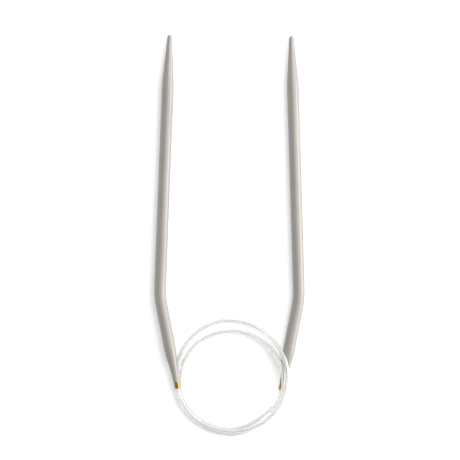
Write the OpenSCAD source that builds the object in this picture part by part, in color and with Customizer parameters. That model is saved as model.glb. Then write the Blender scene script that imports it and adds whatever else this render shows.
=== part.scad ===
// Circular knitting needle: two bent needles joined by one clear cord that lies in a loose coil.
// Units are millimetres. The work surface is Z = 0, the points face +Y, and the origin is
// midway between the two needles.

/* [Shank] */
// Diameter of the needle, which sets the size of the stitches
shank_d = 4.5; // [3.5:0.25:6]
// From the middle of the bend to the nose
front_len = 99.4; // [90:0.1:110]
// From the middle of the bend to the mouth of the ferrule
rear_len = 35.8; // [32:0.1:40]
// Angle of the bend in the left shank, in degrees
left_bend = 13.2; // [10:0.1:16]
// Angle of the bend in the right shank, in degrees
right_bend = 12.7; // [10:0.1:16]
// Radius of the bend, on the needle's axis
bend_r = 34; // [25:1:45]
// From the nose to the shoulder where the point ends
point_len = 18.3; // [12:0.1:24]
// Radius of the rounded nose
nose_r = 0.9; // [0.6:0.05:1.2]
// Length of the taper at the rear end
rear_taper_len = 14; // [12:0.5:18]
// Diameter of the rear end, beside the ferrule
rear_d = 2.3; // [2.25:0.05:2.6]

/* [Ferrule] */
// Largest diameter of the ferrule's head
ferrule_d = 2.2; // [2.1:0.05:2.25]
// Length of the head, which stands clear of the shank
ferrule_len = 2.6; // [2:0.1:3]
// Diameter of the stem that is pressed into the shank
stem_d = 1.9; // [1.85:0.05:1.95]
// Length of the stem
stem_len = 5; // [4:0.5:6]

/* [Cable] */
// Diameter of the cord
cable_d = 1.5; // [1.3:0.05:1.5]
// Radial clearance of the cord in the ferrule, and of the stop in the shank
swivel_play = 0.05; // [0.03:0.01:0.06]
// Length of the collar that is crimped on each end of the cord
stop_len = 3; // [2:0.5:3.5]
// Straight length of cord outside the ferrule's mouth
lead_len = 1; // [0.5:0.1:1.5]

/* [Layout] */
// Lean of each needle's rear end away from the Y axis, in degrees
rear_lean = 11; // [9:0.5:13]
// Height of the left ferrule's mouth, which rests on a strand of the cord
left_mouth_z = 2.78; // [2.75:0.01:2.8]

/* [Hidden] */

shank_r = shank_d / 2;
cable_r = cable_d / 2;
rear_r = rear_d / 2;
ferrule_r = ferrule_d / 2;
stem_r = stem_d / 2;
round_fn = 64;

// Bend: how much thinner its radius is, and how far its ends reach into the straight lengths
bend_thinning = 0.01;
bend_reach = 0.4;

// The bend takes this much off each of the straight lengths beside it.
function bend_tangent(angle) = bend_r * tan(angle / 2);

// Point: a cone that is tangent to the round nose, with its shoulder eased.
point_axis_len = point_len - nose_r;
point_half_angle = atan2(shank_r, point_axis_len)
    - asin(nose_r / norm([shank_r, point_axis_len]));
shoulder_ease = 2.6;
shoulder_r = shoulder_ease / tan(point_half_angle / 2);

// Ferrule and stop
ferrule_bore_r = cable_r + swivel_play;
band_len = 0.6;
groove_len = 0.2;
groove_depth = 0.14;
lip_r = 0.28;
stop_r = stem_r - swivel_play;
stop_gap = 0.1;
crimp_depth = 0.07;
crimp_len = 0.35;
cable_tail = 0.4;
bore_depth = stem_len + stop_gap + stop_len + 1.4;
stop_y = ferrule_len + stem_len + stop_gap;

// Places of the two ferrule mouths, and the slope that lets the left nose rest on the surface
left_mouth = [-19.66, -66.87, left_mouth_z];
right_mouth = [19.64, -67.37, shank_r];
left_tilt = 0.24;

// The loop of cord, clockwise seen from above, from the right ferrule to the left one.
// Each entry is [angle, radius, height] about the middle of the coil; the angle counts
// on through the turns.
coil_centre = [1.34, -62.75];
coil_turns = 2;
loop_rings = 80;
loop_sides = 8;
loop_route = [
    // first turn: down to the surface, inside of the coil, then up over the right needle
    [26, 19.1, 2.02], [34, 18.85, 1.5], [43, 18.5, 1.0], [56, 18.4, 0.8],
    [72, 18.85, 0.78], [92, 19.5, 0.77], [116, 19.6, 0.77], [140, 20.05, 0.77],
    [158, 20.25, 0.77], [170, 20.1, 0.77], [181, 19.65, 0.77], [203, 19.4, 0.77],
    [219, 19.0, 0.77], [240, 18.25, 0.77], [265, 17.85, 0.85], [285, 17.8, 1.1],
    [305, 17.9, 1.75], [320, 18.1, 2.6], [333, 18.45, 3.5], [346, 19.05, 4.2],
    [360, 19.2, 4.42],
    // second turn: under the last strand to the outside, then under the left needle
    [372, 19.35, 4.4], [385, 19.6, 3.7], [395, 19.95, 2.8], [405, 20.3, 1.9],
    [415, 20.6, 1.2], [427, 20.85, 0.85], [445, 21.3, 0.78], [470, 21.5, 0.77],
    [497, 21.6, 0.77], [516, 21.9, 0.77], [528, 21.8, 0.77], [538, 21.3, 0.77],
    [547, 21.1, 0.77], [558, 21.55, 0.77], [573, 21.95, 0.78], [605, 22.05, 0.82],
    [630, 21.9, 1.1], [648, 21.55, 1.7], [664, 21.15, 2.6], [683, 20.9, 3.9],
    [700, 20.8, 4.85],
    // third turn: down on top of the other two, then up to the left ferrule
    [718, 20.7, 5.05], [736, 20.7, 5.05], [747, 20.7, 4.8], [757, 20.7, 4.1],
    [766, 20.65, 3.4], [777, 20.6, 2.75], [790, 20.5, 2.35], [812, 20.45, 2.1],
    [832, 20.55, 2.1], [850, 21.0, 2.28], [866, 21.35, 2.48], [879, 21.45, 2.68],
];

function lean(side) = side == "left" ? rear_lean : -rear_lean;
function tilt(side) = side == "left" ? -left_tilt : 0;
function mouth(side) = side == "left" ? left_mouth : right_mouth;

// Direction in which the cord leaves a ferrule
function way_out(side) = [
    sin(lean(side)) * cos(tilt(side)),
    -cos(lean(side)) * cos(tilt(side)),
    -sin(tilt(side)),
];

// A point of space as [angle, radius, height] about the coil, and back
function to_coil(p, turns) = let (x = p[0] - coil_centre[0], y = p[1] - coil_centre[1])
    [atan2(-y, x) + 360 * turns, norm([x, y]), p[2]];
function from_coil(c) =
    [coil_centre[0] + c[1] * cos(c[0]), coil_centre[1] - c[1] * sin(c[0]), c[2]];

// The whole route, which starts and ends on the axes of the ferrules
route = concat(
    [to_coil(mouth("right") + lead_len * way_out("right"), 0)],
    loop_route,
    [to_coil(mouth("left") + lead_len * way_out("left"), coil_turns)]
);
last_stop = len(route) - 1;

// Smooth curve through the route: slope at each stop, then a cubic between two stops
function slope(i, k) = let (a = max(i - 1, 0), b = min(i + 1, last_stop))
    (route[b][k] - route[a][k]) / (route[b][0] - route[a][0]);
function stop_before(angle) =
    max([for (i = [0 : last_stop - 1]) if (i == 0 || route[i][0] <= angle) i]);
function blend_cubic(i, k, angle) = let (
    run = route[i + 1][0] - route[i][0],
    t = (angle - route[i][0]) / run,
    step = 3 * t * t - 2 * t * t * t
) route[i][k] * (1 - step) + route[i + 1][k] * step
    + run * (slope(i, k) * t * (1 - t) * (1 - t) - slope(i + 1, k) * t * t * (1 - t));
function loop_point(angle) = let (i = stop_before(angle))
    from_coil([angle, blend_cubic(i, 1, angle), blend_cubic(i, 2, angle)]);

function ring_angle(i) = route[0][0] + (route[last_stop][0] - route[0][0]) * i / (loop_rings - 1);
function unit(v) = v / norm(v);
function heading(i) = i == 0 ? way_out("right")
    : i == loop_rings - 1 ? -way_out("left")
    : unit(loop_point(ring_angle(i) + 1) - loop_point(ring_angle(i) - 1));
function ring(i) = let (
    ahead = heading(i),
    side = unit(cross(ahead, [0, 0, 1])),
    up = cross(side, ahead),
    middle = loop_point(ring_angle(i))
) [for (j = [0 : loop_sides - 1]) let (turn = 360 * j / loop_sides)
    middle + cable_r * (cos(turn) * side + sin(turn) * up)];

// Outline of a front stretch of that length as [radius, length], from the bend to the nose
function front_outline(length) = let (
    shoulder_y = length - point_len,
    nose_y = length - nose_r
) concat(
    [[0, 0], [shank_r, 0]],
    [for (i = [0 : 5]) let (turn = point_half_angle * i / 5)
        [shank_r - shoulder_r * (1 - cos(turn)),
         shoulder_y - shoulder_ease + shoulder_r * sin(turn)]],
    [for (i = [0 : 7]) let (turn = point_half_angle + (90 - point_half_angle) * i / 8)
        [nose_r * cos(turn), nose_y + nose_r * sin(turn)]],
    [[0, length]]
);

// Outline of a rear stretch of that length as [radius, length], from the mouth to the bend
function rear_outline(length) = concat(
    [[0, ferrule_len]],
    [for (i = [0 : 12]) let (share = i / 12)
        [rear_r + (shank_r - rear_r) * (1 - cos(180 * share)) / 2,
         ferrule_len + rear_taper_len * share]],
    [[shank_r, length], [0, length]]
);

// Turns an outline about the Y axis
module turned(outline) {
    rotate([-90, 0, 0]) rotate_extrude($fn = round_fn) polygon(outline);
}

module rod(radius, from_y, to_y) {
    translate([0, from_y, 0]) rotate([-90, 0, 0])
        cylinder(r = radius, h = to_y - from_y, $fn = round_fn);
}

// Puts a piece, drawn along Y from the ferrule's mouth, on its side of the tool.
module placed(side) {
    translate(mouth(side)) rotate([tilt(side), 0, lean(side)])
        rotate([0, side == "left" ? 180 : 0, 0]) children();
}

// One needle: tapered rear end, bend to the left, straight front and point, bored for the ferrule
module shank(bend) {
    front_straight = front_len - bend_tangent(bend);
    rear_straight = rear_len - bend_tangent(bend);
    reach = atan(bend_reach / bend_r);
    color("silver") difference() {
        union() {
            turned(rear_outline(rear_straight));
            translate([-bend_r, rear_straight, 0]) rotate([0, 0, -reach])
                rotate_extrude(angle = bend + 2 * reach, $fn = round_fn)
                    translate([bend_r, 0]) circle(r = shank_r - bend_thinning, $fn = round_fn);
            translate([-bend_r, rear_straight, 0]) rotate([0, 0, bend])
                translate([bend_r, 0, 0]) turned(front_outline(front_straight));
        }
        rod(stem_r, ferrule_len - 1, ferrule_len + bore_depth);
    }
}

// Brass bush: rounded barrel, groove, band against the shank, and the pressed stem
module ferrule() {
    band_y = ferrule_len - band_len;
    groove_y = band_y - groove_len;
    color("goldenrod") difference() {
        turned(concat(
            [[0, 0]],
            [for (i = [0 : 4]) let (turn = 90 * i / 4)
                [ferrule_r - lip_r + lip_r * sin(turn), lip_r - lip_r * cos(turn)]],
            [[ferrule_r, groove_y], [ferrule_r - groove_depth, groove_y],
             [ferrule_r - groove_depth, band_y], [ferrule_r, band_y],
             [ferrule_r, ferrule_len], [stem_r, ferrule_len],
             [stem_r, ferrule_len + stem_len], [0, ferrule_len + stem_len]]
        ));
        rod(ferrule_bore_r, -1, ferrule_len + stem_len + 1);
    }
}

// Collar crimped on the cord, with two crimp grooves
module cable_stop() {
    color("goldenrod") difference() {
        rod(stop_r, stop_y, stop_y + stop_len);
        rod(cable_r, stop_y - 1, stop_y + stop_len + 1);
        for (share = [1 / 3, 2 / 3]) difference() {
            rod(stop_r + 1, stop_y + stop_len * share - crimp_len / 2,
                stop_y + stop_len * share + crimp_len / 2);
            rod(stop_r - crimp_depth, stop_y, stop_y + stop_len);
        }
    }
}

// Straight end of the cord, from just outside the mouth through the ferrule and the stop
module cable_end() {
    color("gainsboro") rod(cable_r, -lead_len, stop_y + stop_len + cable_tail);
}

// Loose coil of cord
module cable_loop() {
    color("gainsboro") polyhedron(
        points = [for (i = [0 : loop_rings - 1]) each ring(i)],
        faces = concat(
            [[for (j = [loop_sides - 1 : -1 : 0]) j]],
            [for (i = [0 : loop_rings - 2]) for (j = [0 : loop_sides - 1])
                let (a = i * loop_sides + j, b = i * loop_sides + (j + 1) % loop_sides)
                each [[a, b, b + loop_sides], [a, b + loop_sides, a + loop_sides]]],
            [[for (j = [0 : loop_sides - 1]) (loop_rings - 1) * loop_sides + j]]
        )
    );
}

placed("left") shank(left_bend);  // left_shank
placed("right") shank(right_bend);  // right_shank
placed("left") ferrule();  // left_ferrule
placed("right") ferrule();  // right_ferrule
placed("left") cable_stop();  // left_cable_stop
placed("right") cable_stop();  // right_cable_stop
cable_loop();
placed("left") cable_end();  // cable_left_end
placed("right") cable_end();  // cable_right_end
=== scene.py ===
"""Circular knitting needle: materials, the clear cord, floor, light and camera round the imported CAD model.

Units are metres, in the frame of the CAD model: +Y towards the points, +Z up, work surface at Z = 0.
"""

import math

import bpy
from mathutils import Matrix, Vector


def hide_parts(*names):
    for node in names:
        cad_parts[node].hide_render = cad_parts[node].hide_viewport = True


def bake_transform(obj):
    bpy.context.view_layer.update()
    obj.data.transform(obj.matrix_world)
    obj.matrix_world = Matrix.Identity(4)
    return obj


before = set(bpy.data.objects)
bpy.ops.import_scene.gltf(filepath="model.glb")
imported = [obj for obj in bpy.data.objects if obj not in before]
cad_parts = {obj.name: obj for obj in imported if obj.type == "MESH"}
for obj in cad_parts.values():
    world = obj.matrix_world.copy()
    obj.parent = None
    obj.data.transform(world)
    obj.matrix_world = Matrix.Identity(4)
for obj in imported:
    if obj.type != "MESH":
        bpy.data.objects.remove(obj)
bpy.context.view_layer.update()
MM = 0.001

# ---------------------------------------------------------------- camera: straight above, long lens
LENS = 400.0
SENSOR = 36.0
NEEDLE_HEIGHT = 0.00225

# What the camera sees at the needles' height: its width, and the point in its middle
VIEW_WIDTH = 0.1748
VIEW_CENTRE = (0.00021, -0.00657)

camera_data = bpy.data.cameras.new("camera")
camera_data.type = "PERSP"
camera_data.lens = LENS
camera_data.sensor_width = SENSOR
camera_height = NEEDLE_HEIGHT + VIEW_WIDTH * LENS / SENSOR
camera_data.clip_start = camera_height / 10
camera_data.clip_end = camera_height * 10
camera = bpy.data.objects.new("camera", camera_data)
camera.location = (*VIEW_CENTRE, camera_height)
bpy.context.scene.collection.objects.link(camera)
bpy.context.scene.camera = camera

# ---------------------------------------------------------------- the cord's route
CABLE_D = 1.5 * MM
LEAD = 1.0 * MM
REAR_LEAN = math.radians(11)
LEFT_TILT = math.radians(0.24)
LEFT_MOUTH = Vector((-0.01966, -0.06687, 0.00278))
RIGHT_MOUTH = Vector((0.01964, -0.06737, 0.00225))
END_INSIDE = 11.1 * MM
COIL_CENTRE = Vector((0.00134, -0.06275, 0))
COIL_TURNS = 2
CABLE_SIDES = 48
DEGREES_PER_RING = 1.2

# Each entry is angle in degrees, clockwise seen from above and counting on through the turns,
# radius and height about the middle of the coil, in metres.
LOOP_ROUTE = [
    # first turn: down to the surface, inside of the coil, then up over the right needle
    (26, 0.0191, 0.00202), (34, 0.01885, 0.0015), (43, 0.0185, 0.0010), (56, 0.0184, 0.0008),
    (72, 0.01885, 0.00078), (92, 0.0195, 0.00077), (116, 0.0196, 0.00077), (140, 0.02005, 0.00077),
    (158, 0.02025, 0.00077), (170, 0.0201, 0.00077), (181, 0.01965, 0.00077), (203, 0.0194, 0.00077),
    (219, 0.0190, 0.00077), (240, 0.01825, 0.00077), (265, 0.01785, 0.00085), (285, 0.0178, 0.0011),
    (305, 0.0179, 0.00175), (320, 0.0181, 0.0026), (333, 0.01845, 0.0035), (346, 0.01905, 0.0042),
    (360, 0.0192, 0.00442),
    # second turn: under the last strand to the outside, then under the left needle
    (372, 0.01935, 0.0044), (385, 0.0196, 0.0037), (395, 0.01995, 0.0028), (405, 0.0203, 0.0019),
    (415, 0.0206, 0.0012), (427, 0.02085, 0.00085), (445, 0.0213, 0.00078), (470, 0.0215, 0.00077),
    (497, 0.0216, 0.00077), (516, 0.0219, 0.00077), (528, 0.0218, 0.00077), (538, 0.0213, 0.00077),
    (547, 0.0211, 0.00077), (558, 0.02155, 0.00077), (573, 0.02195, 0.00078), (605, 0.02205, 0.00082),
    (630, 0.0219, 0.0011), (648, 0.02155, 0.0017), (664, 0.02115, 0.0026), (683, 0.0209, 0.0039),
    (700, 0.0208, 0.00485),
    # third turn: down on top of the other two, then up to the left ferrule
    (718, 0.0207, 0.00505), (736, 0.0207, 0.00505), (747, 0.0207, 0.0048), (757, 0.0207, 0.0041),
    (766, 0.02065, 0.0034), (777, 0.0206, 0.00275), (790, 0.0205, 0.00235), (812, 0.02045, 0.0021),
    (832, 0.02055, 0.0021), (850, 0.0210, 0.00228), (866, 0.02135, 0.00248), (879, 0.02145, 0.00268),
]


def way_out(lean, tilt):
    """Direction in which the cord leaves a ferrule."""
    return Vector((math.sin(lean) * math.cos(tilt), -math.cos(lean) * math.cos(tilt), -math.sin(tilt)))


LEFT_OUT = way_out(REAR_LEAN, -LEFT_TILT)
RIGHT_OUT = way_out(-REAR_LEAN, 0)


def to_coil(point, turns):
    """A point as angle, radius and height about the coil."""
    x, y = point.x - COIL_CENTRE.x, point.y - COIL_CENTRE.y
    return (math.degrees(math.atan2(-y, x)) + 360 * turns, math.hypot(x, y), point.z)


ROUTE = [
    to_coil(RIGHT_MOUTH + LEAD * RIGHT_OUT, 0),
    *LOOP_ROUTE,
    to_coil(LEFT_MOUTH + LEAD * LEFT_OUT, COIL_TURNS),
]


def route_slope(i, k):
    """Change of measure k per degree at stop i of the route."""
    before, after = ROUTE[max(i - 1, 0)], ROUTE[min(i + 1, len(ROUTE) - 1)]
    return (after[k] - before[k]) / (after[0] - before[0])


def loop_point(i, t):
    """The point a share t of the way from stop i of the route to the next one."""
    a, b = ROUTE[i], ROUTE[i + 1]
    run = b[0] - a[0]
    step = 3 * t * t - 2 * t ** 3
    radius, height = [
        a[k] * (1 - step) + b[k] * step
        + run * (route_slope(i, k) * t * (1 - t) ** 2 - route_slope(i + 1, k) * t * t * (1 - t))
        for k in (1, 2)
    ]
    turn = math.radians(a[0] + run * t)
    x, y = COIL_CENTRE.x + radius * math.cos(turn), COIL_CENTRE.y - radius * math.sin(turn)
    return Vector((x, y, height))


def cable_path():
    """The cord's centreline, from inside the right needle round the loop to inside the left one."""
    path = [RIGHT_MOUTH - s * RIGHT_OUT for s in (END_INSIDE, END_INSIDE / 2, 0)]
    for i in range(len(ROUTE) - 1):
        rings = max(2, round((ROUTE[i + 1][0] - ROUTE[i][0]) / DEGREES_PER_RING))
        path += [loop_point(i, k / rings) for k in range(rings)]
    path.append(LEFT_MOUTH + LEAD * LEFT_OUT)
    path += [LEFT_MOUTH - s * LEFT_OUT for s in (0, END_INSIDE / 2, END_INSIDE)]
    return path


def tube(name, path, radius, sides):
    """A round tube with closed ends along a path; its rings are carried along without twist."""
    vertices, faces = [], []
    up = Vector((0, 0, 1))
    for i, middle in enumerate(path):
        ahead = (path[min(i + 1, len(path) - 1)] - path[max(i - 1, 0)]).normalized()
        side = ahead.cross(up).normalized()
        top = side.cross(ahead)
        for j in range(sides):
            turn = 2 * math.pi * j / sides
            vertices.append(middle + radius * (math.cos(turn) * side + math.sin(turn) * top))
    for i in range(len(path) - 1):
        for j in range(sides):
            a, b = i * sides + j, i * sides + (j + 1) % sides
            faces.append((a, b, b + sides, a + sides))
    last = (len(path) - 1) * sides
    faces.append(tuple(range(sides - 1, -1, -1)))
    faces.append(tuple(range(last, last + sides)))
    mesh = bpy.data.meshes.new(name)
    mesh.from_pydata(vertices, [], faces)
    mesh.update()
    mesh.polygons.foreach_set("use_smooth", [True] * len(mesh.polygons))
    piece = bpy.data.objects.new(name, mesh)
    bpy.context.scene.collection.objects.link(piece)
    return piece


cable_line = cable_path()
cable = tube("cable", cable_line, CABLE_D / 2, CABLE_SIDES)
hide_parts("cable_loop", "cable_left_end", "cable_right_end")
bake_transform(cable)


# ---------------------------------------------------------------- materials
# Most of a noise's values lie between these two, where colour and roughness run from end to end.
NOISE_LOW, NOISE_HIGH = 0.3, 0.7
BUMP_DEPTH = 0.006 * MM
BUMP_STRENGTH = 0.5


def material(name):
    """A new material, its nodes and its shader."""
    made = bpy.data.materials.new(name)
    made.use_nodes = True
    nodes = made.node_tree.nodes
    return made, made.node_tree, nodes["Principled BSDF"]


def node(tree, kind, **settings):
    """A new node; a setting with a capital letter is an input's value, the rest are the node's own."""
    made = tree.nodes.new(kind)
    for key, value in settings.items():
        if key[0].isupper():
            made.inputs[key.replace("_", " ")].default_value = value
        else:
            setattr(made, key, value)
    return made


def ramp(tree, value, dark, light):
    """A colour from dark to light, picked by a noise value."""
    made = tree.nodes.new("ShaderNodeValToRGB")
    dark_end, light_end = made.color_ramp.elements
    dark_end.position, light_end.position = NOISE_LOW, NOISE_HIGH
    dark_end.color, light_end.color = (*dark, 1), (*light, 1)
    tree.links.new(value, made.inputs["Fac"])
    return made.outputs["Color"]


def noise(tree, scale, stretch=(1, 1, 1), detail=3.0, roughness=0.5):
    """Noise in object space; scale is in waves per metre."""
    place = tree.nodes.new("ShaderNodeTexCoord").outputs["Object"]
    mapping = node(tree, "ShaderNodeMapping", Scale=stretch)
    tree.links.new(place, mapping.inputs["Vector"])
    made = node(tree, "ShaderNodeTexNoise", Scale=scale, Detail=detail, Roughness=roughness)
    tree.links.new(mapping.outputs["Vector"], made.inputs["Vector"])
    return made.outputs["Fac"]


def spread(tree, value, low, high):
    """A noise value turned into one from low to high."""
    made = node(tree, "ShaderNodeMapRange", From_Min=NOISE_LOW, From_Max=NOISE_HIGH, To_Min=low, To_Max=high)
    tree.links.new(value, made.inputs["Value"])
    return made.outputs["Result"]


def bump(tree, shader, height):
    made = node(tree, "ShaderNodeBump", Strength=BUMP_STRENGTH, Distance=BUMP_DEPTH)
    tree.links.new(height, made.inputs["Height"])
    tree.links.new(made.outputs["Normal"], shader.inputs["Normal"])


def shank_material():
    """Pearl-grey coating on aluminium: satin, with fine grain and faint rub marks."""
    made, tree, shader = material("shank coating")
    shader.inputs["Metallic"].default_value = 0.3
    shader.inputs["IOR"].default_value = 1.45
    cloud = noise(tree, scale=120, detail=4)
    grain = noise(tree, scale=5200, detail=2)
    rub = noise(tree, scale=260, stretch=(1, 0.12, 1), detail=5, roughness=0.6)
    colour = ramp(tree, cloud, dark=(0.400, 0.372, 0.340), light=(0.416, 0.388, 0.354))
    tree.links.new(colour, shader.inputs["Base Color"])
    tree.links.new(spread(tree, rub, low=0.41, high=0.50), shader.inputs["Roughness"])
    bump(tree, shader, grain)
    return made


def ferrule_material():
    """Turned brass, polished and a little dulled."""
    made, tree, shader = material("ferrule brass")
    shader.inputs["Metallic"].default_value = 1.0
    cloud = noise(tree, scale=900, detail=4)
    lathe = noise(tree, scale=2500, stretch=(0.3, 3, 0.3), detail=2)
    colour = ramp(tree, cloud, dark=(0.42, 0.21, 0.055), light=(0.50, 0.27, 0.08))
    tree.links.new(colour, shader.inputs["Base Color"])
    tree.links.new(spread(tree, cloud, low=0.12, high=0.20), shader.inputs["Roughness"])
    bump(tree, shader, lathe)
    return made


def stop_material():
    """Plain drawn brass of the crimped collars."""
    made, tree, shader = material("stop brass")
    shader.inputs["Metallic"].default_value = 1.0
    cloud = noise(tree, scale=700, detail=4)
    colour = ramp(tree, cloud, dark=(0.45, 0.25, 0.08), light=(0.54, 0.32, 0.11))
    tree.links.new(colour, shader.inputs["Base Color"])
    tree.links.new(spread(tree, cloud, low=0.28, high=0.42), shader.inputs["Roughness"])
    return made


def cable_material():
    """Clear nylon, a little milky."""
    made, tree, shader = material("clear nylon")
    shader.inputs["Transmission Weight"].default_value = 0.72
    shader.inputs["IOR"].default_value = 1.5
    cloud = noise(tree, scale=300, detail=3)
    colour = ramp(tree, cloud, dark=(0.895, 0.885, 0.87), light=(0.915, 0.905, 0.89))
    tree.links.new(colour, shader.inputs["Base Color"])
    tree.links.new(spread(tree, cloud, low=0.13, high=0.19), shader.inputs["Roughness"])
    return made


def floor_material():
    """Matt white surface that glows a little, so that shadows on it stay pale."""
    made, tree, shader = material("white surface")
    cloud = noise(tree, scale=30, detail=2)
    colour = ramp(tree, cloud, dark=(0.90, 0.90, 0.90), light=(0.905, 0.905, 0.905))
    tree.links.new(colour, shader.inputs["Base Color"])
    shader.inputs["Roughness"].default_value = 0.9
    shader.inputs["Specular IOR Level"].default_value = 0.1
    shader.inputs["Emission Color"].default_value = (1, 1, 1, 1)
    shader.inputs["Emission Strength"].default_value = 0.31
    return made


def dress(piece, made):
    """Gives a piece one material all over."""
    piece.data.materials.clear()
    piece.data.materials.append(made)


shank_coating = shank_material()
ferrule_brass = ferrule_material()
stop_brass = stop_material()
for side in ("left", "right"):
    dress(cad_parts[side + "_shank"], shank_coating)
    dress(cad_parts[side + "_ferrule"], ferrule_brass)
    dress(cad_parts[side + "_cable_stop"], stop_brass)
dress(cable, cable_material())

# ---------------------------------------------------------------- floor
FLOOR_SIZE = 6.0
FLOOR_DROP = 0.00002

floor_mesh = bpy.data.meshes.new("floor")
half = FLOOR_SIZE / 2
corners = [(-half, -half), (half, -half), (half, half), (-half, half)]
floor_mesh.from_pydata([(x, y, -FLOOR_DROP) for x, y in corners], [], [(0, 1, 2, 3)])
floor = bpy.data.objects.new("floor", floor_mesh)
bpy.context.scene.collection.objects.link(floor)
dress(floor, floor_material())


# ---------------------------------------------------------------- light
LIT_POINT = Vector((0, -0.02, 0))
SKY_COLOUR = (0.98, 0.99, 1.0, 1)
SKY_AT_CORD = 0.3
SKY_AT_POINTS = 0.76


def soft_light(name, azimuth, elevation, distance, size, power):
    """A square lamp that faces the lit point. Azimuth counts in degrees from +X towards +Y."""
    a, e = math.radians(azimuth), math.radians(elevation)
    data = bpy.data.lights.new(name, "AREA")
    data.shape = "SQUARE"
    data.size = size
    data.energy = power
    lamp = bpy.data.objects.new(name, data)
    towards = Vector((math.cos(e) * math.cos(a), math.cos(e) * math.sin(a), math.sin(e)))
    lamp.location = LIT_POINT + distance * towards
    lamp.rotation_mode = "QUATERNION"
    lamp.rotation_quaternion = towards.to_track_quat("Z", "Y")
    bpy.context.scene.collection.objects.link(lamp)


def studio_sky():
    """A sky that brightens steadily from the cord's side of the needles to the points' side."""
    world = bpy.data.worlds.new("studio")
    world.use_nodes = True
    tree = world.node_tree
    background = tree.nodes["Background"]
    background.inputs["Color"].default_value = SKY_COLOUR
    direction = tree.nodes.new("ShaderNodeTexCoord").outputs["Generated"]
    facing = node(tree, "ShaderNodeVectorMath", operation="DOT_PRODUCT")
    facing.inputs[1].default_value = (0, 1, 0)
    tree.links.new(direction, facing.inputs[0])
    glow = node(
        tree, "ShaderNodeMapRange", From_Min=-1.0, From_Max=1.0, To_Min=SKY_AT_CORD, To_Max=SKY_AT_POINTS
    )
    tree.links.new(facing.outputs["Value"], glow.inputs["Value"])
    tree.links.new(glow.outputs["Result"], background.inputs["Strength"])
    return world


soft_light("key", azimuth=42, elevation=60, distance=1.6, size=0.65, power=9.5)
soft_light("low", azimuth=0, elevation=16, distance=1.6, size=1.0, power=18.5)
bpy.context.scene.world = studio_sky()
bpy.context.scene.view_settings.view_transform = "Standard"
